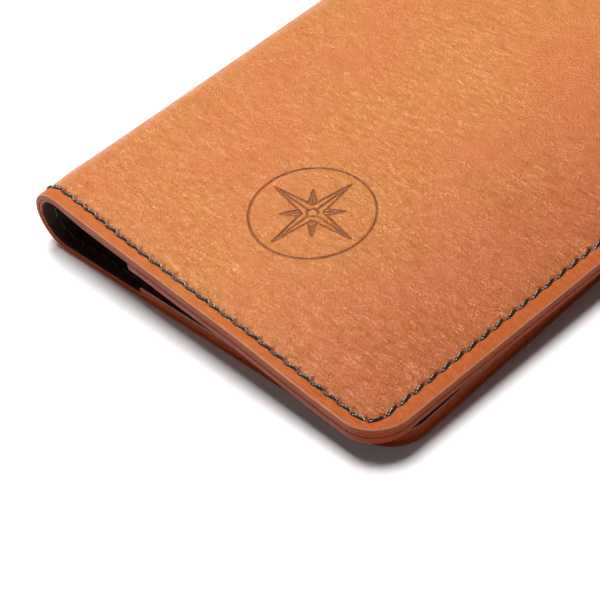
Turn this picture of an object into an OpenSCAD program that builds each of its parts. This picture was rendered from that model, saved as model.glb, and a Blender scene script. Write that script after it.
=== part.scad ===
// Bifold travel document organizer: a leather cover folded round a rolled spine, with a passport
// sleeve and card slots in the back cover and a document sleeve and ticket pocket in the front one.
// Millimetres. +X runs from the spine to the fore-edge, +Y along the spine, +Z up off the table.
// The origin is the middle of the back cover's outer face, which lies on the table.

/* [Cover] */
// Closed width, from the outside of the rolled spine to the fore-edge
cover_w = 105; // [95:1:126]
// Length of the cover along the spine
cover_l = 145; // [130:1:175]
// Radius of the two fore-edge corners of each cover
corner_r = 9; // [6:0.5:14]

/* [Leather] */
// Thickness of the outer leather
outer_t = 1.2; // [0.9:0.1:1.6]
// Thickness of the lining leather
lining_t = 0.8; // [0.7:0.1:1.2]
// Thickness of the board sealed between outer and lining
board_t = 0.4; // [0.2:0.1:0.5]
// How far the board stays inside the cover's edge
board_margin = 8; // [6:0.5:14]
// Room all round the board in its recess
board_clear = 0.1; // [0.05:0.05:0.3]

/* [Fold] */
// Outer radius of the rolled spine
fold_r = 8.2; // [6.8:0.1:10.5]
// Clearance between the closed covers' inner leathers at the fore-edge stitches
fore_gap = 0.5; // [0.4:0.1:3]
// Angle between the spine and the back cover's fore-edge
fold_skew = 1.2; // [0:0.1:2]
// Arc left free at each end of the rigid spine, in degrees, so that it clears the covers
fold_relief = 8; // [6:1:14]

/* [Stitching] */
// Distance from one stitch to the next
stitch_pitch = 3.65; // [3:0.05:5]
// Length of one stitch
stitch_len = 2.9; // [2:0.1:3.4]
// Width of the thread where it lies on the leather
thread_w = 0.55; // [0.4:0.05:0.8]
// Height of the thread in the outer channel
thread_h = 0.5; // [0.3:0.05:0.7]
// Height of the thread where it is pressed on the inner leather
inner_thread_h = 0.2; // [0.1:0.05:0.3]
// Distance of the stitch line from the cover's edge
edge_margin = 3.2; // [2.4:0.1:4.5]
// Room beside and above the thread in its channel
channel_clear = 0.2; // [0.15:0.05:0.4]

/* [Sleeves] */
// Distance of each sleeve's mouth from the spine
sleeve_x = 32; // [24:1:40]
// Thickness of the sleeve leather
sleeve_t = 1.1; // [0.8:0.1:1.3]
// Depth of the space under a sleeve
sleeve_gap = 0.5; // [0.3:0.1:0.7]
// Width of the sewn border that closes a sleeve
sewn_border = 5; // [4:0.5:8]
// Distance of a pocket's decorative stitch row from its mouth
mouth_margin = 2.5; // [2:0.1:4]

/* [Card slots] */
// Distance of the rear slot's mouth from the spine
slot_x = 37; // [34:1:44]
// Offset from one slot's mouth to the next
slot_step = 10; // [7:0.5:12]
// Thickness of one slot's leather
slot_t = 0.4; // [0.3:0.05:0.5]
// Lower end of the slots, from the cover's bottom edge
slot_low = 18.5; // [12:0.5:28]
// Length of the slots along the spine
slot_l = 92; // [89:1:98]

/* [Ticket pocket] */
// Distance of the ticket pocket's mouth from the spine
ticket_x = 50; // [44:1:60]
// Distance of the ticket pocket's outer edge from the cover's fore-edge
ticket_edge = 8; // [7:0.5:14]
// Lower end of the ticket pocket, from the cover's bottom edge
ticket_low = 30; // [14:1:36]
// Length of the ticket pocket along the spine
ticket_l = 85; // [70:1:94]
// Thickness of the ticket pocket's leather
ticket_t = 0.4; // [0.3:0.05:0.5]
// Corner radius of the ticket pocket
ticket_r = 4; // [2:0.5:8]
// Distance of the ticket pocket's stitch line from its edge
ticket_margin = 2; // [1.5:0.1:3]

/* [Emblem] */
// Distance of the emblem's centre from the spine
emblem_x = 52; // [34:1:70]
// Distance of the emblem's centre from the bottom edge
emblem_y = 34.3; // [28:0.1:60]
// Radius of the emblem's ring, to the middle of its line
emblem_r = 13.35; // [9:0.05:18]
// Width of the ring's line
emblem_line = 0.5; // [0.3:0.05:0.8]
// Depth of the pressed emblem
emblem_depth = 0.3; // [0.1:0.05:0.45]
// Gap between the ring and the rose's long points
rose_gap = 2; // [1:0.5:5]
// Width of a long point
rose_long_w = 3.2; // [2:0.1:5]
// Width of a short point
rose_short_w = 2.5; // [1.5:0.1:4]
// Length of a short point as a share of a long one's
rose_short = 0.6; // [0.4:0.05:0.8]

/* [Hidden] */
$fn = 96;
skin = 0.05;                              // how far a cut runs past the face it opens
least_r = 1;                              // radius of a corner that is moved in a long way
spine_t = outer_t + lining_t;
sleeve_h = sleeve_t + sleeve_gap;
sleeve_top = spine_t + sleeve_h;
back_stack = sleeve_top + 3 * slot_t + inner_thread_h;
front_stack = sleeve_top + inner_thread_h;
// The closed covers make a wedge, as high as the roll at the spine and as their layers at the edge
wedge_rise = 2 * fold_r - back_stack - front_stack - fore_gap;
wedge_angle = atan(wedge_rise / (cover_w - edge_margin - fold_r));
neutral_r = fold_r - spine_t / 2;
half_turn = (180 + wedge_angle) / 2;      // turn of each hinge between closed and flat open
half_arc = neutral_r * half_turn * PI / 180;
ticket_w = cover_w - ticket_edge - ticket_x;
channel_w = thread_w + 2 * channel_clear;
channel_d = thread_h + 2 * skin;
roll_sag = fold_r - sqrt(pow(fold_r, 2) - pow(stitch_len / 2, 2)); // a straight stitch on the roll
reach = cover_w + cover_l;                // longer than any cut needs
corner_path = PI / 2 * (corner_r - edge_margin);

// ---- Places ----------------------------------------------------------------------------------
// Each cover is drawn with its outer face at z = 0 and its inside upwards, x from the spine and
// y from the bottom edge. side is 1 on the back cover and -1 on the front cover.

module back_place()
  translate([-cover_w / 2, -cover_l / 2, 0]) children();

// The spine's own directions: x square to the roll, y along it
module fold_place()
  back_place() rotate([0, 0, -fold_skew]) children();

module front_place()
  fold_place()
    translate([fold_r * (1 + sin(wedge_angle)), 0, fold_r * (1 + cos(wedge_angle))])
      rotate([0, wedge_angle, 0])
        translate([-fold_r, -(half_arc - fold_r) * sin(2 * fold_skew), 0])
          rotate([0, 0, -fold_skew])
            mirror([0, 0, 1]) children();

// ---- Flat shapes -----------------------------------------------------------------------------

// The cover's outline moved in by inset, square at the spine and round at the fore-edge
module sheet(inset) {
  r = max(corner_r - inset, least_r);
  w = cover_w - inset;
  l = cover_l - 2 * inset;
  translate([0, inset]) {
    square([w - r, l]);
    translate([0, r]) square([w, l - 2 * r]);
    translate([w - r, r]) circle(r);
    translate([w - r, l - r]) circle(r);
  }
}

// The outline up to the line where the cover starts to roll, or to fold_inset short of it
module cover_shape(side, inset = 0, fold_inset = 0)
  intersection() {
    sheet(inset);
    rotate(-side * fold_skew) translate([fold_r + fold_inset, -reach]) square(2 * reach);
  }

// What lies beyond x from the spine
module beyond(x)
  translate([x, -reach]) square(2 * reach);

module channel_shape()
  difference() {
    sheet(edge_margin - channel_w / 2);
    sheet(edge_margin + channel_w / 2);
  }

module rounded_box(w, l, r) {
  translate([r, 0]) square([w - 2 * r, l]);
  translate([0, r]) square([w, l - 2 * r]);
  for (x = [r, w - r], y = [r, l - r])
    translate([x, y]) circle(r);
}

// ---- Stitches --------------------------------------------------------------------------------

module stitch(h)
  linear_extrude(h) {
    square([stitch_len - thread_w, thread_w], center = true);
    for (end = [-1, 1])
      translate([end * (stitch_len - thread_w) / 2, 0]) circle(thread_w / 2, $fn = 16);
  }

// Where the stitch row starts on the bottom edge, and where it ends on the top edge
function row_start(side, y) = fold_r + side * y * tan(fold_skew) + stitch_pitch / 2;

// The row runs along the bottom edge, round a corner, up the fore-edge, round the other corner and
// back along the top edge. These give its place and its direction at a distance s along it.
function bottom_run(side) = cover_w - corner_r - row_start(side, edge_margin);
function fore_run() = cover_l - 2 * corner_r;
function top_run(side) = cover_w - corner_r - row_start(side, cover_l - edge_margin);
function row_length(side) = bottom_run(side) + fore_run() + top_run(side) + 2 * corner_path;

function corner_place(y, turn) = [
  cover_w - corner_r + (corner_r - edge_margin) * sin(turn),
  y - (corner_r - edge_margin) * cos(turn),
  turn,
];

function row_place(side, s) =
  let (
    s1 = s - bottom_run(side),
    s2 = s1 - corner_path,
    s3 = s2 - fore_run(),
    s4 = s3 - corner_path
  )
  s1 < 0 ? [row_start(side, edge_margin) + s, edge_margin, 0]
  : s2 < 0 ? corner_place(corner_r, 90 * s1 / corner_path)
  : s3 < 0 ? [cover_w - edge_margin, corner_r + s2, 90]
  : s4 < 0 ? corner_place(cover_l - corner_r, 90 + 90 * s3 / corner_path)
  : [cover_w - corner_r - s4, cover_l - edge_margin, 180];

function row_count(side) = floor(row_length(side) / stitch_pitch);

// A row's stitches round the cover's edge, on the outside, in their channel
module outer_row(side)
  for (i = [0 : row_count(side) - 1]) {
    p = row_place(side, (i + 0.5) * row_length(side) / row_count(side));
    translate([p.x, p.y, skin]) rotate(p.z) stitch(thread_h);
  }

// Height of the inner leather under a stitch, which spans the step between two layers
function near(v, low, high) = v > low - stitch_len / 2 && v < high + stitch_len / 2;
function back_level(p) =
  !near(p.x, sleeve_x, cover_w) ? spine_t
  : !near(p.y, slot_low, slot_low + slot_l) ? sleeve_top
  : sleeve_top + slot_t * len([for (i = [0 : 2]) if (near(p.x, slot_x + i * slot_step, cover_w)) i]);
function front_level(p) = near(p.x, sleeve_x, cover_w) ? sleeve_top : spine_t;

module inner_row(side)
  for (i = [0 : row_count(side) - 1]) {
    p = row_place(side, (i + 0.5) * row_length(side) / row_count(side));
    level = side > 0 ? back_level(p) : front_level(p);
    translate([p.x, p.y, level]) rotate(p.z) stitch(inner_thread_h);
  }

// A straight row on the inner leather, from one place to another
module straight_row(start, end, level) {
  count = floor(norm(end - start) / stitch_pitch);
  for (i = [0 : count - 1]) {
    p = start + (end - start) * (i + 0.5) / count;
    translate([p.x, p.y, level])
      rotate(atan2(end.y - start.y, end.x - start.x)) stitch(inner_thread_h);
  }
}

module mouth_row(x, low, high, level) straight_row([x, low], [x, high], level);

// ---- Covers ----------------------------------------------------------------------------------

module outer_panel(side)
  difference() {
    linear_extrude(outer_t) cover_shape(side);
    translate([0, 0, -skin]) linear_extrude(channel_d + skin) channel_shape();
  }

module stiffener(side)
  translate([0, 0, outer_t]) linear_extrude(board_t) cover_shape(side, board_margin, board_margin);

module lining(side)
  difference() {
    translate([0, 0, outer_t]) linear_extrude(lining_t) cover_shape(side);
    translate([0, 0, outer_t - skin])
      linear_extrude(board_t + board_clear + skin)
        cover_shape(side, board_margin - board_clear, board_margin - board_clear);
  }

// A sleeve sewn on three sides, with its mouth towards the spine
module sleeve(side)
  translate([0, 0, spine_t])
    difference() {
      linear_extrude(sleeve_h) intersection() {
        cover_shape(side);
        beyond(sleeve_x);
      }
      translate([0, 0, -skin]) linear_extrude(sleeve_gap + skin) intersection() {
        cover_shape(side, sewn_border);
        beyond(sleeve_x - skin);
      }
    }

module card_slot(i)
  translate([0, 0, sleeve_top + i * slot_t])
    linear_extrude(slot_t)
      intersection() {
        sheet(0);
        translate([slot_x + i * slot_step, slot_low]) square([reach, slot_l]);
      }

// ---- Emblem ----------------------------------------------------------------------------------

// One point of the rose: a kite from the centre, pointing along +Y
module rose_point(length, width)
  polygon([[0, 0], [width / 2, width / 2], [0, length], [-width / 2, width / 2]]);

module emblem_shape() {
  long = emblem_r - rose_gap;
  difference() {
    circle(emblem_r + emblem_line / 2);
    circle(emblem_r - emblem_line / 2);
  }
  for (turn = [0 : 90 : 270]) {
    rotate(turn) rose_point(long, rose_long_w);
    rotate(turn + 45) rose_point(long * rose_short, rose_short_w);
  }
}

// ---- Spine -----------------------------------------------------------------------------------

// Part of a ring round the roll's centre, between two turns from the lowest line of the roll
module roll_ring(r_out, r_in, low, high)
  difference() {
    circle(r_out);
    circle(r_in);
    // the open side, towards the covers
    polygon([
      [0, 0],
      [-2 * r_out * sin(low), -2 * r_out * cos(low)],
      [2 * r_out, -3 * r_out],
      [3 * r_out, 0],
      [2 * r_out, 3 * r_out],
      [-2 * r_out * sin(high), -2 * r_out * cos(high)],
    ]);
  }

module rolled_strip(r_out, r_in)
  fold_place()
    translate([fold_r, -(half_arc - fold_r) * sin(fold_skew), fold_r])
      translate([0, cover_l * cos(fold_skew), 0])
        rotate([90, 0, 0])
          linear_extrude(cover_l * cos(fold_skew))
            roll_ring(r_out, r_in, fold_relief, 2 * half_turn - fold_relief);

function spine_rows() = [edge_margin, cover_l * cos(fold_skew) - edge_margin];

module spine_channels()
  for (v = spine_rows())
    fold_place()
      translate([fold_r, v + channel_w / 2, fold_r])
        rotate([90, 0, 0])
          linear_extrude(channel_w) difference() {
            circle(fold_r + spine_t);
            circle(fold_r - channel_d - roll_sag);
          }

// ---- Sub-parts -------------------------------------------------------------------------------

module back_outer() color("peru") back_place() outer_panel(1);

module back_stiffener() color("tan") back_place() stiffener(1);

module back_lining() color("sienna") back_place() lining(1);

module back_stitches() color("dimgray") back_place() outer_row(1);

module back_inner_stitches() color("dimgray") back_place() inner_row(1);

module passport_sleeve() color("chocolate") back_place() sleeve(1);

module card_slot_rear() color("sandybrown") back_place() card_slot(0);

module card_slot_middle() color("peru") back_place() card_slot(1);

module card_slot_front() color("chocolate") back_place() card_slot(2);

module card_slot_stitches()
  color("dimgray") back_place() {
    mouth_row(sleeve_x + mouth_margin, sewn_border, cover_l - sewn_border, sleeve_top);
    for (i = [0 : 2])
      mouth_row(
        slot_x + i * slot_step + mouth_margin, slot_low + edge_margin,
        slot_low + slot_l - edge_margin, sleeve_top + (i + 1) * slot_t
      );
  }

module spine_outer()
  color("peru") difference() {
    rolled_strip(fold_r, fold_r - outer_t);
    spine_channels();
  }

module spine_lining() color("sienna") rolled_strip(fold_r - outer_t, fold_r - spine_t);

module spine_stitches() {
  free_turn = 2 * half_turn - 2 * fold_relief;
  count = floor(free_turn * PI / 180 * fold_r / stitch_pitch);
  color("dimgray")
    for (v = spine_rows(), i = [0 : count - 1])
      fold_place()
        translate([fold_r, v, fold_r])
          rotate([0, fold_relief + (i + 0.5) * free_turn / count, 0])
            translate([0, 0, -fold_r + skin + roll_sag]) stitch(thread_h);
}

module front_outer()
  color("peru") front_place() difference() {
    outer_panel(-1);
    translate([emblem_x, emblem_y, -skin])
      linear_extrude(emblem_depth + skin) emblem_shape();
  }

module front_stiffener() color("tan") front_place() stiffener(-1);

module front_lining() color("sienna") front_place() lining(-1);

module front_stitches() color("dimgray") front_place() outer_row(-1);

module front_inner_stitches() color("dimgray") front_place() inner_row(-1);

module document_sleeve() color("chocolate") front_place() sleeve(-1);

module ticket_pocket()
  color("sandybrown") front_place()
    translate([ticket_x, ticket_low, sleeve_top])
      linear_extrude(ticket_t) rounded_box(ticket_w, ticket_l, ticket_r);

module ticket_pocket_stitches() {
  top = sleeve_top + ticket_t;
  low = ticket_low + ticket_margin;
  high = ticket_low + ticket_l - ticket_margin;
  far = ticket_x + ticket_w - ticket_margin;
  color("dimgray") front_place() {
    mouth_row(sleeve_x + mouth_margin, sewn_border, cover_l - sewn_border, sleeve_top);
    mouth_row(far, low + ticket_margin, high - ticket_margin, top);
    for (y = [low, high])
      straight_row([ticket_x + ticket_margin, y], [far - ticket_margin, y], top);
  }
}

back_outer();
back_stiffener();
back_lining();
back_stitches();
back_inner_stitches();
passport_sleeve();
card_slot_rear();
card_slot_middle();
card_slot_front();
card_slot_stitches();
spine_outer();
spine_lining();
spine_stitches();
front_outer();
front_stiffener();
front_lining();
front_stitches();
front_inner_stitches();
document_sleeve();
ticket_pocket();
ticket_pocket_stitches();
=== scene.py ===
# %% [markdown]
# # A travel document organizer in folded leather
#
# The organizer is one long sheet of tan leather with a thinner lining behind it, folded round a rolled
# spine and stitched all round its edge. Inside are a passport sleeve with card slots and a document
# sleeve with a ticket pocket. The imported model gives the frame: which body each piece rides on, and the
# box that the looks have to fill. Everything below is drawn around it, in metres.

# %% Load the frame
import math

import bmesh
import bpy
import numpy as np
from mathutils import Matrix, Vector


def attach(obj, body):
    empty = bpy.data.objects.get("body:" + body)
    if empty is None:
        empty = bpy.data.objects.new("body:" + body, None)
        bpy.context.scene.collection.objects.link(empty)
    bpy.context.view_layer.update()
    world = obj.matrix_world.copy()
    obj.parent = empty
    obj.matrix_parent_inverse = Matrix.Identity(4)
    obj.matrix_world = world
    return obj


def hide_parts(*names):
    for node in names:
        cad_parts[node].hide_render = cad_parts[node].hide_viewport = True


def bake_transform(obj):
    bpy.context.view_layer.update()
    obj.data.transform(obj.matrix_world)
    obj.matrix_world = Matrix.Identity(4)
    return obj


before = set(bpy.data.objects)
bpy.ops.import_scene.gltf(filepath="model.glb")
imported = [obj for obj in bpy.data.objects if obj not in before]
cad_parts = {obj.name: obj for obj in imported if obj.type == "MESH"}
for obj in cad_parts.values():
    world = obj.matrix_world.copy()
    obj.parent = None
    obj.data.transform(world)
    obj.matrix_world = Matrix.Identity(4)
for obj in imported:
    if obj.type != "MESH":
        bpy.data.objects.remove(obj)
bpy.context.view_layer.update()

# %% [markdown]
# ## The organizer's own sizes
#
# A leather worker keeps a short list of sizes and cuts everything from it. These are the same sizes as
# the CAD's, in metres. Places on a cover are given as x from the spine and y from the bottom edge, on
# the cover laid flat, and a depth from the outer face towards the inside.

# %% Sizes
MM = 0.001
COVER_W = 105 * MM
COVER_L = 145 * MM
CORNER_R = 9 * MM
OUTER_T = 1.2 * MM
LINING_T = 0.8 * MM
COVER_T = OUTER_T + LINING_T
SLEEVE_X = 32 * MM
SLEEVE_T = 1.1 * MM
SLEEVE_GAP = 0.5 * MM
SLEEVE_TOP = COVER_T + SLEEVE_T + SLEEVE_GAP
SEWN_BORDER = 5 * MM
SLOT_X = 37 * MM
SLOT_STEP = 10 * MM
SLOT_T = 0.4 * MM
SLOT_LOW = 18.5 * MM
SLOT_L = 92 * MM
TICKET_X = 50 * MM
TICKET_FAR_X = COVER_W - 8 * MM
TICKET_LOW = 30 * MM
TICKET_L = 85 * MM
TICKET_T = 0.4 * MM
FOLD_R = 8.2 * MM
FORE_GAP = 0.5 * MM
INNER_THREAD = 0.2 * MM
EDGE_MARGIN = 3.2 * MM
STITCH_PITCH = 3.65 * MM
SKEW = math.radians(1.2)

WEDGE_RISE = 2 * FOLD_R - 2 * SLEEVE_TOP - 3 * SLOT_T - 2 * INNER_THREAD - FORE_GAP
WEDGE = math.atan(WEDGE_RISE / (COVER_W - EDGE_MARGIN - FOLD_R))
HALF_TURN = (math.pi + WEDGE) / 2
NEUTRAL_R = FOLD_R - COVER_T / 2
HALF_ARC = NEUTRAL_R * HALF_TURN
SPARE = HALF_ARC - FOLD_R
BACK, FRONT = 1, -1
NAMES = {FRONT: "front", BACK: "back"}
print("wedge", round(math.degrees(WEDGE), 2), "degrees")
print("half the roll takes", round(HALF_ARC / MM, 2), "mm of leather")

# %% [markdown]
# ## Folding a flat pattern
#
# Every leather piece is cut flat and then folded, so one function does the folding for all of them. It
# takes a place on the flat cover and wraps it round the roll, which is a little askew to the cover, as
# it is on a hand-folded piece. Because lining, sleeves and stitches all go through this function, they
# stay on each other however the cover lies.

# %% The fold
def smooth(t):
    t = np.clip(t, 0, 1)
    return t * t * (3 - 2 * t)


def spine_middle(side, y):
    """x of the middle line of the roll, at y."""
    return (side * y * math.sin(SKEW) - SPARE) / math.cos(SKEW)


def edge_wave(side, x, y):
    """How far the front cover's bottom edge waves out of its plane: soft leather never lies quite flat."""
    if side == BACK:
        return np.zeros(np.broadcast(x, y).shape)
    bulge = 0.32 * np.exp(-((x / MM - 64) / 10) ** 2)
    hollow = 0.42 * np.exp(-((x / MM - 89) / 12) ** 2)
    return (bulge - hollow) * MM * np.exp(-y / (24 * MM))


def edge_swell(side, x, y):
    """The layers' thickness as a multiple. They are fuller at the front cover's bottom edge."""
    if side == BACK:
        return np.ones(np.broadcast(x, y).shape)
    fuller = 0.40 * smooth((x - 7 * MM) / (12 * MM)) - 0.14 * smooth((x - 28 * MM) / (8 * MM))
    return 1 + fuller * np.exp(-((y / (9 * MM)) ** 2))


def fold(side, x, y, depth):
    """Points of a flat cover's pattern on the folded organizer, as an array of rows x, y, z."""
    x, y, depth = np.broadcast_arrays(np.asarray(x, float), y, depth)
    depth = depth * edge_swell(side, x, y) - edge_wave(side, x, y)
    across = x * math.cos(SKEW) - side * y * math.sin(SKEW) + SPARE
    along = side * x * math.sin(SKEW) + y * math.cos(SKEW)
    turn = np.clip((HALF_ARC - across) / NEUTRAL_R, 0, None)
    flat = np.clip(across - HALF_ARC, 0, None)
    if side == BACK:
        lean, tilt = math.pi + turn, 0.0
    else:
        along = along - SPARE * math.sin(2 * SKEW)
        lean, tilt = WEDGE - turn, WEDGE
    radius = FOLD_R - depth
    u = FOLD_R + radius * np.sin(lean) * np.ones_like(turn) + flat * math.cos(tilt)
    w = FOLD_R + radius * np.cos(lean) * np.ones_like(turn) - flat * math.sin(tilt)
    return np.stack([
        u * math.cos(SKEW) + along * math.sin(SKEW) - COVER_W / 2,
        -u * math.sin(SKEW) + along * math.cos(SKEW) - COVER_L / 2,
        w,
    ], axis=-1)


corner = fold(BACK, np.array([COVER_W]), COVER_L, 0.0)[0]

# %% [markdown]
# ## Cutting a panel
#
# A cover, a lining or a sleeve is a closed shell: a fine grid for the side that shows, a rounded rim
# round it, and a plain back. The grid's lines are straight, and near a rounded corner they are bent so
# that a square patch fills a quarter of a disc, which keeps all its faces four-sided. The rim is a few
# more rows of vertices, each a little further out and deeper.

# %% Panels
def lines(*stretches):
    """Grid lines through stretches of (start, end, step)."""
    out = [stretches[0][0]]
    for start, end, step in stretches:
        count = max(1, round((end - start) / step))
        out += [start + (end - start) * (i + 1) / count for i in range(count)]
    return np.array(out)


def round_corners(x, y, far, low, high, r):
    """Bends a grid's two far corners into quarter discs of radius r."""
    a = np.clip((x - (far - r)) / r, 0, 1)
    for below in (True, False):
        b = (low + r - y) / r if below else (y - (high - r)) / r
        inside = (a > 0) & (b > 0)
        bx = far - r + r * a * np.sqrt(np.clip(1 - b * b / 2, 0, 1))
        by = b * r * np.sqrt(1 - a * a / 2)
        x = np.where(inside, bx, x)
        y = np.where(inside, (low + r - by) if below else (high - r + by), y)
    return x, y


class Panel:
    """A flat cutting pattern: where its grid lines are, and how they move in as the rim does."""

    def __init__(self, side, xs, ys, far=COVER_W, low=0.0, high=COVER_L, r=CORNER_R, mouth=True):
        self.side, self.far, self.low, self.high, self.r, self.mouth = side, far, low, high, r, mouth
        self.xs, self.ys = xs, ys

    def place(self, inset):
        """The grid's x and y with its outline moved in by inset."""
        x0, y0 = np.meshgrid(self.xs, self.ys, indexing="ij")
        r = self.r
        a = np.clip((x0 - (self.far - r)) / r, 0, 1)
        b = np.clip((self.low + r - y0) / r, 0, 1)
        c = np.clip((y0 - (self.high - r)) / r, 0, 1)
        x, y = x0 - a * inset, y0 + b * inset - c * inset
        if self.mouth:
            x = x + inset * np.clip(1 - (x0 - self.xs[0]) / r, 0, 1)
        x, y = round_corners(x, y, self.far - inset, self.low + inset, self.high - inset, r - inset)
        if not self.mouth:
            middle = spine_middle(self.side, y)
            flat_from = 12 * MM
            share = np.clip((flat_from - x0) / (flat_from - self.xs[0]), 0, 1)
            x = np.where(x0 < flat_from, flat_from + (middle - flat_from) * share, x)
        return x, y

    def loop(self):
        """The grid's boundary, as index pairs in order."""
        nx, ny = len(self.xs) - 1, len(self.ys) - 1
        return (
            [(i, 0) for i in range(nx)] + [(nx, j) for j in range(ny)]
            + [(i, ny) for i in range(nx, 0, -1)] + [(0, j) for j in range(ny, 0, -1)]
        )


# %% [markdown]
# ## Closing a panel into a shell
#
# Leather has a thickness, so a panel is closed: the shown grid, the rows of its rim, and its back. A
# Solidify modifier could do that, but its rim would be square and know nothing about the edge paint.
# Each vertex therefore keeps three notes for the materials: its place on the flat pattern, how far round
# the painted rim it is, and how near it is to a stitch hole or a pressed line.

# %% Shells
FAR_OFF = 9.0


def no_marks(x, y):
    """A place with no stitch hole and no pressed line near it."""
    return np.stack([np.zeros_like(x), np.full_like(x, FAR_OFF), np.full_like(x, FAR_OFF)], -1)


def no_height(x, y):
    """A face that stays level."""
    return np.zeros_like(x)


def keep(mesh, name, kind, field, values):
    """Stores one value for each vertex of a mesh, under a name."""
    mesh.attributes.new(name, kind, "POINT").data.foreach_set(field, np.concatenate(values).ravel())


def build_shell(name, panel, rim, height=no_height, back="grid", back_height=no_height, marks=no_marks):
    """A closed shell. rim is a list of (inset, depth, painted), from the shown face to the back face."""
    side, nx, ny = panel.side, len(panel.xs), len(panel.ys)
    x, y = panel.place(rim[0][0])
    points = [fold(side, x, y, rim[0][1] - height(x, y)).reshape(-1, 3)]
    flats = [np.stack([x, y, np.zeros_like(x)], -1).reshape(-1, 3)]
    paint = [np.full(nx * ny, rim[0][2])]
    marked = [marks(x, y).reshape(-1, 3)]
    index = np.arange(nx * ny).reshape(nx, ny)
    loop = panel.loop()
    li, lj = np.array([p[0] for p in loop]), np.array([p[1] for p in loop])
    faces = [
        (index[i, j], index[i + 1, j], index[i + 1, j + 1], index[i, j + 1])
        for i in range(nx - 1) for j in range(ny - 1)
    ]
    ring = index[li, lj]
    count = nx * ny
    for row, (inset, depth, painted) in enumerate(rim[1:]):
        gx, gy = panel.place(inset)
        gx, gy = gx[li, lj], gy[li, lj]
        share = (row + 1) / (len(rim) - 1)
        rise = height(gx, gy) * (1 - share) + back_height(gx, gy) * share
        points.append(fold(side, gx, gy, depth - rise))
        flats.append(np.stack([gx, gy, np.full_like(gx, depth)], -1))
        paint.append(np.full(len(loop), painted))
        marked.append(marks(gx, gy))
        new = count + np.arange(len(loop))
        faces += list(zip(ring, np.roll(ring, -1), np.roll(new, -1), new))
        ring, count = new, count + len(loop)
    at = {pair: int(v) for pair, v in zip(loop, ring)}
    if back == "grid":
        inset, depth, painted = rim[-1]
        gx, gy = panel.place(inset)
        inner = fold(side, gx, gy, depth - back_height(gx, gy))[1:-1, 1:-1].reshape(-1, 3)
        points.append(inner)
        flats.append(np.stack([gx, gy, np.full_like(gx, depth)], -1)[1:-1, 1:-1].reshape(-1, 3))
        paint.append(np.zeros(len(inner)))
        marked.append(no_marks(inner[:, 0], inner[:, 1]))
        for n, (i, j) in enumerate((i, j) for i in range(1, nx - 1) for j in range(1, ny - 1)):
            at[(i, j)] = count + n
        faces += [
            (at[i, j], at[i, j + 1], at[i + 1, j + 1], at[i + 1, j])
            for i in range(nx - 1) for j in range(ny - 1)
        ]
    else:
        last = ny - 1
        faces.append([at[0, j] for j in range(ny)] + [at[1, last], at[1, 0]])
        faces += [(at[i, 0], at[i, last], at[i + 1, last], at[i + 1, 0]) for i in range(1, nx - 2)]
        faces.append([at[nx - 2, 0], at[nx - 2, last]] + [at[nx - 1, j] for j in range(last, -1, -1)])
    mesh = bpy.data.meshes.new(name)
    mesh.from_pydata(np.concatenate(points).tolist(), [], [[int(v) for v in f] for f in faces])
    work = bmesh.new()
    work.from_mesh(mesh)
    bmesh.ops.recalc_face_normals(work, faces=work.faces)
    if not panel.mouth:
        # the halves meet here, so the light must not round this edge off
        meeting = {int(v) for v in index[0]}
        for edge in work.edges:
            edge.smooth = not meeting.issuperset(v.index for v in edge.verts)
    work.to_mesh(mesh)
    work.free()
    keep(mesh, "flat", "FLOAT_VECTOR", "vector", flats)
    keep(mesh, "paint", "FLOAT", "value", paint)
    keep(mesh, "marks", "FLOAT_VECTOR", "vector", marked)
    mesh.polygons.foreach_set("use_smooth", np.ones(len(mesh.polygons), bool))
    obj = bpy.data.objects.new(name, mesh)
    bpy.context.scene.collection.objects.link(obj)
    print(name, len(mesh.polygons), "faces")
    return obj


def rounded_rim(inset, top, bottom, soft, hard=0.2 * MM, steps=4):
    """A rim's rows: rounded by soft on the shown side and by hard on the back, painted on its wall."""
    down = 1 if bottom > top else -1
    rows = [(inset + soft, top, 0.0)]
    for k in range(1, steps + 1):
        a = math.pi / 2 * k / steps
        rows.append((inset + soft * (1 - math.sin(a)), top + down * soft * (1 - math.cos(a)), k / steps))
    for k in range(4):
        a = math.pi / 2 * k / 3
        rows.append((inset + hard * (1 - math.cos(a)), bottom - down * hard * (1 - math.sin(a)), 1.0))
    return rows


# %% [markdown]
# ## The stitch line
#
# One row of stitches follows the cover's edge from the middle of the spine, round both corners and back
# to the spine. The leather needs to know where every stitch is before it is made, because each hole
# pulls it down and pinches a small crease beside it. So the row is worked out first: a function gives
# the place at a distance along the row, and another gives that distance back for any place on the cover.

# %% The row
ROW_FORE = 3.75 * MM
ROW_END = 2.75 * MM
ROW_R = 4 * MM


def end_margin(x):
    """Distance of the row from the bottom or top edge: it wanders in a little towards the spine."""
    return ROW_END + 0.5 * MM * smooth((32 * MM - x) / (16 * MM))


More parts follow.
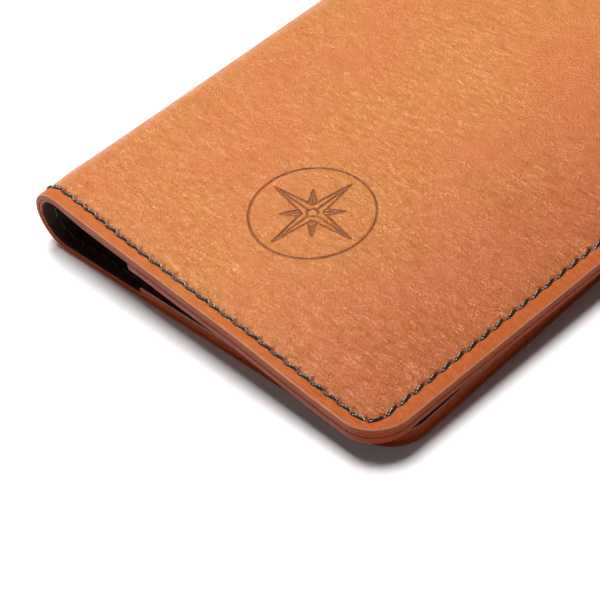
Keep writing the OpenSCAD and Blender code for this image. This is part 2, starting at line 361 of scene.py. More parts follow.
class Row:
    """The stitch row of one cover, from the middle of the spine and back to it."""

    def __init__(self, side):
        self.start = float(spine_middle(side, ROW_END))
        self.end = float(spine_middle(side, COVER_L - ROW_END))
        self.turn_x = COVER_W - ROW_FORE - ROW_R
        self.turn_y = ROW_END + ROW_R
        self.s1 = self.turn_x - self.start
        self.s2 = self.s1 + ROW_R * math.pi / 2
        self.s3 = self.s2 + COVER_L - 2 * self.turn_y
        self.s4 = self.s3 + ROW_R * math.pi / 2
        self.length = self.s4 + self.turn_x - self.end
        self.count = round(self.length / STITCH_PITCH)
        self.pitch = self.length / self.count

    def place(self, s):
        """x, y and direction at the distance s along the row."""
        if s < self.s1:
            return self.start + s, float(end_margin(self.start + s)), 0.0
        if s < self.s2:
            a = (s - self.s1) / ROW_R
            return self.turn_x + ROW_R * math.sin(a), self.turn_y - ROW_R * math.cos(a), a
        if s < self.s3:
            return COVER_W - ROW_FORE, self.turn_y + s - self.s2, math.pi / 2
        if s < self.s4:
            a = (s - self.s3) / ROW_R
            y = COVER_L - self.turn_y + ROW_R * math.sin(a)
            return self.turn_x + ROW_R * math.cos(a), y, math.pi / 2 + a
        x = self.turn_x - (s - self.s4)
        return x, COVER_L - float(end_margin(x)), math.pi

    def locate(self, x, y):
        """The distance along the row and the distance inward from it, for arrays of places."""
        low = y < COVER_L / 2
        out = np.where(low, self.turn_y - y, y - COVER_L + self.turn_y)
        bend = ROW_R * np.arctan2(np.clip(x - self.turn_x, 0, None), np.clip(out, 1e-9, None))
        corner = (x > self.turn_x) & (out > 0)
        up = self.s2 + y - self.turn_y
        s = np.where(low, x - self.start, self.s4 + self.turn_x - x)
        s = np.where(corner, np.where(low, self.s1 + bend, self.s4 - bend), np.where(x > self.turn_x, up, s))
        edge = np.minimum(np.minimum(y, COVER_L - y) - end_margin(x), COVER_W - ROW_FORE - x)
        return s, np.where(corner, ROW_R - np.hypot(x - self.turn_x, out), edge)


ROWS = {side: Row(side) for side in (BACK, FRONT)}
print("stitches on a cover:", ROWS[FRONT].count, "at", round(ROWS[FRONT].pitch / MM, 3), "mm")


def stitch_pull(side, x, y):
    """How far the leather stands out: down along the row, and up beside it, where it is padded."""
    s, inward = ROWS[side].locate(x, y)
    d = inward / MM
    between = np.cos(2 * math.pi * s / ROWS[side].pitch)
    valley = -0.16 * np.exp(-(d / 0.8) ** 2)
    swell = -0.05 * between * np.exp(-((d - 1.3) / 1.0) ** 2)
    crown = 0.30 * (1 - np.exp(-(np.clip(d, 0, None) / 3.6) ** 2)) * np.exp(-np.clip(d - 6, 0, None) / 20)
    crown = crown + 0.05 * np.exp(-((d + 1.6) / 0.8) ** 2)
    return (valley + swell + crown) * MM


# %% [markdown]
# ## The pressed emblem
#
# A plain compass rose in a ring is pressed into the front cover with a heated die. A pressed line is a
# soft groove, so each one is drawn from the distance to its middle line: the grid sinks where that
# distance is small. Half of every point is pressed a little deeper than the rest, which gives the rose
# its light and dark sides. The grooves are in the mesh, so they catch the light from any side.

# %% The emblem
EMBLEM_AT = (52 * MM, 34.3 * MM)
EMBLEM_R = 13.35 * MM
LINE_W = 0.5 * MM
ROSE_R = EMBLEM_R - 2 * MM
LONG_W, SHORT_W, SHORT = 3.2 * MM, 2.5 * MM, 0.6
HUB_R = 1.1 * MM
PRESS_SOFT = 0.3 * MM


def segment_distance(px, py, a, b):
    """Distance from places to the straight line between a and b."""
    ax, ay, bx, by = *a, *b
    t = np.clip(((px - ax) * (bx - ax) + (py - ay) * (by - ay)) / ((bx - ax) ** 2 + (by - ay) ** 2), 0, 1)
    return np.hypot(px - ax - t * (bx - ax), py - ay - t * (by - ay))


def in_triangle(px, py, a, b, c, soft):
    """About 1 inside a triangle and 0 outside, with edges as soft as pressed leather."""
    out = np.ones_like(px)
    for p, q in ((a, b), (b, c), (c, a)):
        nx, ny = -(q[1] - p[1]), q[0] - p[0]
        reach = ((px - p[0]) * nx + (py - p[1]) * ny) / math.hypot(nx, ny)
        out = out * smooth(0.5 + reach / soft)
    return out


def emblem_distance(px, py):
    """How far a place, given from the emblem's centre, is from the nearest line, and the shaded halves."""
    away = np.minimum(np.abs(np.hypot(px, py) - EMBLEM_R), np.abs(np.hypot(px, py) - HUB_R))
    shaded, covered = np.zeros_like(px), np.zeros_like(px)
    for k in (0, 2, 4, 6, 1, 3, 5, 7):
        long = k % 2 == 0
        reach, half = (ROSE_R, LONG_W / 2) if long else (ROSE_R * SHORT, SHORT_W / 2)
        c, s = math.cos(math.radians(45 * k)), math.sin(math.radians(45 * k))
        qx, qy = px * c + py * s, -px * s + py * c
        tip, left, right, foot = (0, reach), (-half, half), (half, half), (0, 0)
        near = np.minimum(segment_distance(qx, qy, tip, left), segment_distance(qx, qy, tip, right))
        near = np.minimum(near, segment_distance(qx, qy, tip, foot))
        away = np.minimum(away, near if long else np.where(covered > 0.5, FAR_OFF * MM, near))
        dark_half = in_triangle(qx, qy, foot, right, tip, PRESS_SOFT)
        shaded = np.maximum(shaded, dark_half * (1 - covered))
        if long:
            light_half = in_triangle(qx, qy, foot, tip, left, PRESS_SOFT)
            covered = np.maximum(covered, np.maximum(dark_half, light_half))
    return np.where(np.hypot(px, py) < HUB_R - PRESS_SOFT, FAR_OFF * MM, away), shaded


def emblem_marks(x, y):
    """Distance to the emblem's lines and its shaded halves, on arrays of places on the front cover."""
    ex, ey = x - EMBLEM_AT[0], y - EMBLEM_AT[1]
    away, shaded = np.full(ex.shape, FAR_OFF * MM), np.zeros(ex.shape)
    close = np.hypot(ex, ey) < EMBLEM_R + 2 * MM
    away[close], shaded[close] = emblem_distance(ex[close], ey[close])
    return away, shaded


def outer_marks(side):
    """The notes on stitches and pressed lines that one cover's outer leather keeps."""
    def marks(x, y):
        s, inward = ROWS[side].locate(x, y)
        line = emblem_marks(x, y)[0] / MM if side == FRONT else np.full_like(x, FAR_OFF)
        return np.stack([s / ROWS[side].pitch, inward / MM, line], -1)
    return marks


def outer_height(side):
    """The relief of one cover's outer leather: its padding, its row and, in front, the emblem."""
    def height(x, y):
        rise = stitch_pull(side, x, y) * smooth((COVER_W - x) / (0.4 * MM))
        if side == FRONT:
            away, shaded = emblem_marks(x, y)
            rise = rise - 0.28 * MM * np.exp(-(away / (0.55 * LINE_W)) ** 2) - 0.08 * MM * shaded
        else:
            # the back cover lies on this face, so nothing may stand out of it
            rise = np.minimum(rise, 0)
        return rise
    return height


# %% [markdown]
# ## Outer leather and lining
#
# On the real organizer the outer leather is one sheet, and the lining another. Here each is two halves
# that meet in the middle of the spine: a piece can bend across one joint only, and the roll has a joint
# on each side. The two halves end on the same line, so together they read as one sheet. The front half
# has a finer grid round the emblem, where the pressed lines are half a millimetre wide.

# %% Outer leather
START_X = -SPARE
FINE, PLAIN = 0.22 * MM, 0.65 * MM
EMBLEM_BOX = 14.6 * MM
front_x = lines((START_X, START_X + 1 * MM, 0.25 * MM),
                (START_X + 1 * MM, EMBLEM_AT[0] - EMBLEM_BOX, PLAIN),
                (EMBLEM_AT[0] - EMBLEM_BOX, EMBLEM_AT[0] + EMBLEM_BOX, FINE),
                (EMBLEM_AT[0] + EMBLEM_BOX, COVER_W - CORNER_R, PLAIN),
                (COVER_W - CORNER_R, COVER_W, 0.45 * MM))
front_y = lines((0, CORNER_R, 0.36 * MM),
                (CORNER_R, EMBLEM_AT[1] - EMBLEM_BOX, PLAIN),
                (EMBLEM_AT[1] - EMBLEM_BOX, EMBLEM_AT[1] + EMBLEM_BOX, FINE),
                (EMBLEM_AT[1] + EMBLEM_BOX, COVER_L - CORNER_R, PLAIN),
                (COVER_L - CORNER_R, COVER_L, 0.45 * MM))
back_x = lines((START_X, START_X + 1 * MM, 0.25 * MM), (START_X + 1 * MM, COVER_W - CORNER_R, PLAIN),
               (COVER_W - CORNER_R, COVER_W, 0.45 * MM))
back_y = lines((0, CORNER_R, 0.4 * MM), (CORNER_R, COVER_L - CORNER_R, PLAIN),
               (COVER_L - CORNER_R, COVER_L, 0.4 * MM))
outer_rim = rounded_rim(0.0, 0.0, OUTER_T, 0.38 * MM, steps=6)
outer_front = build_shell("outer_leather_front", Panel(FRONT, front_x, front_y, mouth=False), outer_rim,
                          height=outer_height(FRONT), back="strips", marks=outer_marks(FRONT))
outer_back = build_shell("outer_leather_back", Panel(BACK, back_x, back_y, mouth=False), outer_rim,
                         height=outer_height(BACK), back="strips", marks=outer_marks(BACK))

# %% Lining
lining_x = lines((START_X, 12 * MM, 0.6 * MM), (12 * MM, COVER_W - CORNER_R, 2 * MM),
                 (COVER_W - CORNER_R, COVER_W, 0.8 * MM))
lining_y = lines((0, CORNER_R, 0.9 * MM), (CORNER_R, COVER_L - CORNER_R, 2.5 * MM),
                 (COVER_L - CORNER_R, COVER_L, 0.9 * MM))
lining_rim = rounded_rim(0.12 * MM, COVER_T, OUTER_T, 0.22 * MM)
linings = {
    side: build_shell(f"lining_{name}", Panel(side, lining_x, lining_y, mouth=False), lining_rim,
                      back="strips")
    for side, name in NAMES.items()
}

# %% [markdown]
# ## Sleeves, slots and ticket pocket
#
# The inner pieces are panels too, with a rounded mouth on the side that faces the spine. A sleeve is
# sewn along three edges and stands off the lining in the middle, which leaves room for the cover of a
# passport. Its shown face is level here, and the gap is hollowed out of its back, from the seams to the
# mouth. The card slots lie on the passport sleeve like roof tiles, each a little nearer the fore-edge.

# %% Inner panels
PANEL_STEP = 1.4 * MM
CLEAR = 0.02 * MM


def from_edge(x, y):
    """Distance from the nearest of the cover's three sewn edges."""
    return np.minimum(np.minimum(y, COVER_L - y), COVER_W - x)


def sleeve_lift(x, y):
    """The gap under a sleeve, as a height: none at its seams, and all of it beyond the sewn border."""
    return -SLEEVE_GAP * smooth((from_edge(x, y) - EDGE_MARGIN) / SEWN_BORDER)


def sleeve_face(x, y):
    """The face goes towards the inside, so the thread pulls it to a lesser depth: a positive height."""
    return 0.15 * MM * np.exp(-((from_edge(x, y) - EDGE_MARGIN) / (0.9 * MM)) ** 2)


def panel_lines(start, far, low, high, r, step):
    """Grid lines of a panel, closer together where its corners are rounded."""
    return (lines((start, far - r, step), (far - r, far, r / 8)),
            lines((low, low + r, r / 8), (low + r, high - r, step), (high - r, high, r / 8)))


def inner_panel(name, side, start, far, low, high, r, top, bottom, height=no_height, lift=no_height,
                setback=0.0, soft=0.16 * MM):
    """A panel from start to far and from low to high, with its shown face at depth top."""
    xs, ys = panel_lines(start, far, low, high, r, PANEL_STEP)
    thick = abs(top - bottom)
    rim = rounded_rim(setback, top, bottom, min(soft, 0.45 * thick), min(0.12 * MM, 0.3 * thick))
    return build_shell(name, Panel(side, xs, ys, far, low, high, r), rim, height=height, back_height=lift)


def sleeve(name, side):
    """A sleeve over the whole cover from its mouth to the fore-edge."""
    return inner_panel(name, side, SLEEVE_X, COVER_W, 0, COVER_L, CORNER_R, SLEEVE_TOP, COVER_T,
                       height=sleeve_face, lift=sleeve_lift, setback=0.1 * MM, soft=0.4 * MM)


passport_sleeve = sleeve("passport_sleeve_panel", BACK)
document_sleeve = sleeve("document_sleeve_panel", FRONT)
slots = []
for i, name in enumerate(("rear", "middle", "front")):
    under = SLEEVE_TOP + i * SLOT_T
    slots.append(inner_panel(f"card_slot_{name}_panel", BACK, SLOT_X + i * SLOT_STEP, COVER_W - 0.3 * MM,
                             SLOT_LOW, SLOT_LOW + SLOT_L, 1.2 * MM, under + SLOT_T, under + CLEAR))
ticket_pocket = inner_panel("ticket_pocket_panel", FRONT, TICKET_X, TICKET_FAR_X, TICKET_LOW,
                            TICKET_LOW + TICKET_L, 4 * MM, SLEEVE_TOP + TICKET_T, SLEEVE_TOP + CLEAR)

# %% [markdown]
# ## Thread
#
# A saddle stitch is a short length of twisted, waxed thread that comes out of one hole and goes down the
# next, a little askew to the seam. Every stitch is the same shape, so Geometry Nodes make one from two
# strands wound round each other and put it on every point of a row. The points carry the direction of
# the seam and the way out of the leather, so the stitches follow the roll and the corners.

# %% The stitch tree
def socket(tree, name):
    """The identifier of one of the tree's named inputs."""
    return next(i.identifier for i in tree.interface.items_tree if i.item_type == "SOCKET" and i.name == name
                and i.in_out == "INPUT")


def stitch_tree():
    tree = bpy.data.node_groups.new("stitches along a row", "GeometryNodeTree")
    face = tree.interface
    face.new_socket("Geometry", in_out="INPUT", socket_type="NodeSocketGeometry")
    for name in ("Length", "Thread Width", "Height", "Sink", "Turns"):
        face.new_socket(name, in_out="INPUT", socket_type="NodeSocketFloat")
    face.new_socket("Seed", in_out="INPUT", socket_type="NodeSocketInt")
    face.new_socket("Thread", in_out="INPUT", socket_type="NodeSocketMaterial")
    face.new_socket("Geometry", in_out="OUTPUT", socket_type="NodeSocketGeometry")
    new, link = tree.nodes.new, tree.links.new
    group_in, group_out = new("NodeGroupInput"), new("NodeGroupOutput")

    def maths(operation, a, b=None):
        n = new("ShaderNodeMath")
        n.operation = operation
        for k, value in enumerate((a, b)):
            if value is None:
                continue
            if isinstance(value, (int, float)):
                n.inputs[k].default_value = value
            else:
                link(value, n.inputs[k])
        return n.outputs[0]

    def vector(x=0.0, y=0.0, z=0.0):
        n = new("ShaderNodeCombineXYZ")
        for k, value in enumerate((x, y, z)):
            if isinstance(value, (int, float)):
                n.inputs[k].default_value = value
            else:
                link(value, n.inputs[k])
        return n.outputs[0]

    half = maths("MULTIPLY", group_in.outputs["Length"], 0.5)
    low = maths("MULTIPLY", group_in.outputs["Sink"], -1.0)
    strand_r = maths("MULTIPLY", group_in.outputs["Thread Width"], 0.29)
    wind_r = maths("MULTIPLY", group_in.outputs["Thread Width"], 0.21)
    join = new("GeometryNodeJoinGeometry")
    for strand in (0, 1):
        arc = new("GeometryNodeCurveQuadraticBezier")
        arc.inputs["Resolution"].default_value = 7
        link(vector(maths("MULTIPLY", half, -1.0), 0.0, low), arc.inputs["Start"])
        link(vector(0.0, 0.0, group_in.outputs["Height"]), arc.inputs["Middle"])
        link(vector(half, 0.0, low), arc.inputs["End"])
        at = new("GeometryNodeSplineParameter")
        turns = maths("MULTIPLY", at.outputs["Factor"], group_in.outputs["Turns"])
        angle = maths("ADD", maths("MULTIPLY", turns, 2 * math.pi), math.pi * strand)
        wound = new("GeometryNodeSetPosition")
        link(arc.outputs["Curve"], wound.inputs["Geometry"])
        link(vector(0.0, maths("MULTIPLY", maths("COSINE", angle), wind_r),
                    maths("MULTIPLY", maths("SINE", angle), wind_r)), wound.inputs["Offset"])
        ring = new("GeometryNodeCurvePrimitiveCircle")
        ring.inputs["Resolution"].default_value = 5
        link(strand_r, ring.inputs["Radius"])
        tube = new("GeometryNodeCurveToMesh")
        tube.inputs["Fill Caps"].default_value = True
        link(wound.outputs["Geometry"], tube.inputs["Curve"])
        link(ring.outputs["Curve"], tube.inputs["Profile Curve"])
        link(tube.outputs["Mesh"], join.inputs["Geometry"])

    def row_attribute(name):
        n = new("GeometryNodeInputNamedAttribute")
        n.data_type = "FLOAT_VECTOR"
        n.inputs["Name"].default_value = name
        return n.outputs["Attribute"]

    along = new("FunctionNodeAlignRotationToVector")
    along.axis = "X"
    link(row_attribute("along"), along.inputs["Vector"])
    outward = new("FunctionNodeAlignRotationToVector")
    outward.axis, outward.pivot_axis = "Z", "X"
    link(along.outputs["Rotation"], outward.inputs["Rotation"])
    link(row_attribute("out"), outward.inputs["Vector"])
    vary = new("FunctionNodeRandomValue")
    vary.data_type = "FLOAT_VECTOR"
    vary.inputs["Min"].default_value = (0.93, 0.92, 0.88)
    vary.inputs["Max"].default_value = (1.04, 1.08, 1.12)
    link(group_in.outputs["Seed"], vary.inputs["Seed"])
    on_points = new("GeometryNodeInstanceOnPoints")
    link(group_in.outputs["Geometry"], on_points.inputs["Points"])
    link(join.outputs["Geometry"], on_points.inputs["Instance"])
    link(outward.outputs["Rotation"], on_points.inputs["Rotation"])
    link(vary.outputs["Value"], on_points.inputs["Scale"])
    shade = new("GeometryNodeSetShadeSmooth")
    link(on_points.outputs["Instances"], shade.inputs["Geometry"])
    real = new("GeometryNodeRealizeInstances")
    link(shade.outputs["Geometry"], real.inputs["Geometry"])
    paint = new("GeometryNodeSetMaterial")
    link(real.outputs["Geometry"], paint.inputs["Geometry"])
    link(group_in.outputs["Thread"], paint.inputs["Material"])
    link(paint.outputs["Geometry"], group_out.inputs["Geometry"])
    return tree


STITCHES = stitch_tree()
thread = bpy.data.materials.new("waxed black thread")
thread.use_nodes = True
print("stitch tree has", len(STITCHES.nodes), "nodes")

# %% [markdown]
# ## Laying the thread along its rows
#
# The tree only needs points that know two directions. Both come from the fold: a place a little further
# along the seam and a place a little further out are folded too, and the differences are the directions.
# The outside has a thick thread that stands proud of the leather, and the inside rows a thinner one. In
# the end each row becomes a plain mesh.

# %% Rows of stitches
SLANT = math.radians(10)
TWIST = 1.9
THREAD_L = 3.5 * MM
THICK = {"width": 0.86 * MM, "sink": 0.4 * MM}
THIN = {"width": 0.6 * MM, "height": 0.5 * MM, "sink": 0.25 * MM}


def stitches(name, side, places, depth, inward, width, height, sink, seed):
    """One piece of stitches. places are (x, y, direction), depth a function, inward 1 on the inner face."""
    points, along, out = [], [], []
    step = 0.2 * MM
    for x, y, direction in places:
        turn = direction + (SLANT if inward < 0 else -SLANT)
        dx, dy = math.cos(turn) * step, math.sin(turn) * step
        d = float(depth(np.array([x]), np.array([y]))[0])
        here = fold(side, np.array([x]), y, d)[0]
        ahead = fold(side, np.array([x + dx]), y + dy, d)[0]
        beyond = fold(side, np.array([x]), y, d + inward * step)[0]
        points.append(here)
        along.append((ahead - here) / np.linalg.norm(ahead - here))
        out.append((beyond - here) / np.linalg.norm(beyond - here))
    mesh = bpy.data.meshes.new(name + "_points")
    mesh.from_pydata([p.tolist() for p in points], [], [])
    for key, values in (("along", along), ("out", out)):
        keep(mesh, key, "FLOAT_VECTOR", "vector", values)
    row = bpy.data.objects.new(name + "_points", mesh)
    bpy.context.scene.collection.objects.link(row)
    modifier = row.modifiers.new("stitches", "NODES")
    modifier.node_group = STITCHES
    for key, value in (("Length", THREAD_L), ("Thread Width", width), ("Height", height), ("Sink", sink),
                       ("Turns", TWIST), ("Seed", seed), ("Thread", thread)):
        modifier[socket(STITCHES, key)] = value
    bpy.context.view_layer.update()
    made = bpy.data.meshes.new_from_object(row.evaluated_get(bpy.context.evaluated_depsgraph_get()))
    row.modifiers.clear()
    bpy.data.objects.remove(row)
    for key in ("along", "out"):
        if key in made.attributes:
            made.attributes.remove(made.attributes[key])
    made.name = name
    piece = bpy.data.objects.new(name, made)
    bpy.context.scene.collection.objects.link(piece)
    print(name, len(places), "stitches,", len(made.polygons), "faces")
    return piece


def edge_places(side):
    """The middle of every stitch on a cover's edge row."""
    row = ROWS[side]
    return [row.place((k + 0.5) * row.pitch) for k in range(row.count)]


STEP_REACH = 1.45 * MM


def inner_depth(side):
    """Depth of the inner leather's face. A stitch that reaches over a panel's edge lies on the panel."""
    def depth(x, y):
        deep = np.where(x > SLEEVE_X - STEP_REACH, SLEEVE_TOP, COVER_T)
        if side == BACK:
            level = (y > SLOT_LOW - STEP_REACH) & (y < SLOT_LOW + SLOT_L + STEP_REACH)
            for i in range(3):
                over = level & (x > SLOT_X + i * SLOT_STEP - STEP_REACH)
                deep = deep + np.where(over, SLOT_T, 0)
        return deep
    return depth


def outer_depth(side):
    """Depth of the outside row: deeper on the back cover, which lies on its face."""
    flush = 0.10 * MM if side == FRONT else 0.42 * MM
    return lambda x, y: np.full(x.shape, flush)


PROUD = {FRONT: 1.0 * MM, BACK: 0.55 * MM}
outer_rows = {
    side: stitches(f"edge_stitches_{name}", side, edge_places(side), outer_depth(side), -1,
                   height=PROUD[side], seed=3 + side, **THICK)
    for side, name in NAMES.items()
}
inner_rows = {
    side: stitches(f"inner_stitches_{name}", side, edge_places(side), inner_depth(side), 1, seed=7 + side,
                   **THIN)
    for side, name in NAMES.items()
}


def straight_places(x, low, high):
    """Stitches in a straight row at x, spread evenly from low to high."""
    count = int((high - low) / STITCH_PITCH)
    return [(x, low + (k + 0.5) * (high - low) / count, math.pi / 2) for k in range(count)]


MOUTH_MARGIN = 2.5 * MM
slot_places = straight_places(SLEEVE_X + MOUTH_MARGIN, SEWN_BORDER, COVER_L - SEWN_BORDER)
for i in range(3):
    slot_places += straight_places(SLOT_X + i * SLOT_STEP + MOUTH_MARGIN, SLOT_LOW + EDGE_MARGIN,
                                   SLOT_LOW + SLOT_L - EDGE_MARGIN)
slot_stitches = stitches("slot_stitches", BACK, slot_places, inner_depth(BACK), 1, seed=11, **THIN)

# %% The ticket pocket's row
TICKET_MARGIN = 2 * MM
TICKET_CORNER = 1 * MM
TICKET_MOUTH = 7 * MM
ticket_low, ticket_high = TICKET_LOW + TICKET_MARGIN, TICKET_LOW + TICKET_L - TICKET_MARGIN
ticket_far = TICKET_FAR_X - TICKET_MARGIN
ticket_places = straight_places(SLEEVE_X + MOUTH_MARGIN, SEWN_BORDER, COVER_L - SEWN_BORDER)
ticket_places += straight_places(ticket_far, ticket_low + TICKET_CORNER, ticket_high - TICKET_CORNER)
across = int((TICKET_FAR_X - TICKET_X - TICKET_MOUTH) / STITCH_PITCH)
for y in (ticket_low, ticket_high):
    ticket_places += [(ticket_far - TICKET_CORNER - (k + 0.75) * STITCH_PITCH, y, 0.0) for k in range(across)]


def ticket_depth(x, y):
    """Depth of the inner face in the front cover: the document sleeve, or the ticket pocket on it."""
    over = (x > TICKET_X) & (x < TICKET_FAR_X) & (y > TICKET_LOW) & (y < TICKET_LOW + TICKET_L)
    return SLEEVE_TOP + np.where(over, TICKET_T, 0)


ticket_stitches = stitches("ticket_stitches", FRONT, ticket_places, ticket_depth, 1, seed=13, **THIN)

# %% [markdown]
# ## Leather
#
# Aniline-dyed leather shows the hide: clouds of lighter and darker dye, fine wrinkles, small pores, and
# a darker painted edge. Some light is painted into the colour too: a painted highlight on the edge's
# rounded rim, painted sheen in streaks along the edge, and painted shade towards the fore-edge and in the
# crease at every stitch hole. An image could show all that, but it would stretch round the roll. So the
# dye is read from each place's note on the flat pattern, and bends with the leather. Colour and gloss come
# from noises of several sizes, and the finest ones are also bumps.

# %% Shader helpers
IN_MM = (1 / MM, 1 / MM, 1 / MM)


class Shader:
    """A material's node tree with short calls for what the leathers need."""

    def __init__(self, material):
        self.tree = material.node_tree
        self.tree.nodes.clear()
        self.out = self.add("ShaderNodeOutputMaterial")
        self.surface = self.add("ShaderNodeBsdfPrincipled")
        self.link(self.surface.outputs[0], self.out.inputs[0])

    def add(self, kind, **settings):
        n = self.tree.nodes.new(kind)
        for key, value in settings.items():
            setattr(n, key, value)
        return n

    def link(self, a, b):
        self.tree.links.new(a, b)

    def attribute(self, name, output):
        return self.add("ShaderNodeAttribute", attribute_name=name).outputs[output]

    def parts(self, vector):
        n = self.add("ShaderNodeSeparateXYZ")
        self.link(vector, n.inputs[0])
        return n.outputs[0], n.outputs[1], n.outputs[2]

    def scaled(self, vector, scale, turn=0.0):
        n = self.add("ShaderNodeMapping")
        n.inputs["Scale"].default_value = scale
        n.inputs["Rotation"].default_value = (0.0, 0.0, turn)
        self.link(vector, n.inputs["Vector"])
        return n.outputs[0]

    def noise(self, vector, scale, detail=3.0, rough=0.55, distortion=0.0):
        n = self.add("ShaderNodeTexNoise")
        n.inputs["Scale"].default_value = scale
        n.inputs["Detail"].default_value = detail
        n.inputs["Roughness"].default_value = rough
        n.inputs["Distortion"].default_value = distortion
        self.link(vector, n.inputs["Vector"])
        return n.outputs["Fac"]

    def cells(self, vector, scale):
        n = self.add("ShaderNodeTexVoronoi", feature="F1")
        n.inputs["Scale"].default_value = scale
        self.link(vector, n.inputs["Vector"])
        return n.outputs["Distance"]

    def span(self, value, low, high, to_low=0.0, to_high=1.0):
        n = self.add("ShaderNodeMapRange", interpolation_type="SMOOTHSTEP")
        for key, number in (("From Min", low), ("From Max", high), ("To Min", to_low), ("To Max", to_high)):
            n.inputs[key].default_value = number
        self.link(value, n.inputs["Value"])
        return n.outputs[0]

    def maths(self, operation, a, b=0.0):
        n = self.add("ShaderNodeMath", operation=operation)
        for k, value in enumerate((a, b)):
            if isinstance(value, (int, float)):
                n.inputs[k].default_value = value
            else:
                self.link(value, n.inputs[k])
        return n.outputs[0]

    def mix(self, share, a, b):
        n = self.add("ShaderNodeMix", data_type="RGBA", blend_type="MIX")
        for key, value in ((0, share), (6, a), (7, b)):
            if isinstance(value, (int, float, tuple)):
                n.inputs[key].default_value = value
            else:
                self.link(value, n.inputs[key])
        return n.outputs[2]

    def bump(self, height, distance, normal=None, strength=1.0):
        n = self.add("ShaderNodeBump")
        n.inputs["Distance"].default_value = distance
        n.inputs["Strength"].default_value = strength
        self.link(height, n.inputs["Height"])
        if normal is not None:
            self.link(normal, n.inputs["Normal"])
        return n.outputs[0]


def rgb(r, g, b):
    """A colour given as it looks on a screen, 0 to 255, made linear."""
    return tuple(((v / 255 + 0.055) / 1.055) ** 2.4 for v in (r, g, b)) + (1.0,)


def darker(colour, share):
    """A colour with only a share of its light."""
    return tuple(c * share for c in colour[:3]) + (1.0,)


# %% [markdown]
# ## From the dye to the gloss
#
# The leather's colour starts with two dyes in clouds, and every step after that mixes in some of the
# darkest one: as painted shade towards the fore-edge, and in streaks, in veins and in pores. The border
# outside the stitches is burnished flat, so it is duller than the grain. One function makes the tan, the
# lining and the pocket leather, because they differ in dye, gloss and painted rim highlight, not in kind.
# The brown of the lining and the pocket leather is partly dye and partly painted shade for the inside of
# the closed cover.

# %% Leather materials
# the colour of the painted highlight on a rounded rim
RIM_HIGHLIGHT_COLOUR = rgb(232, 172, 140)


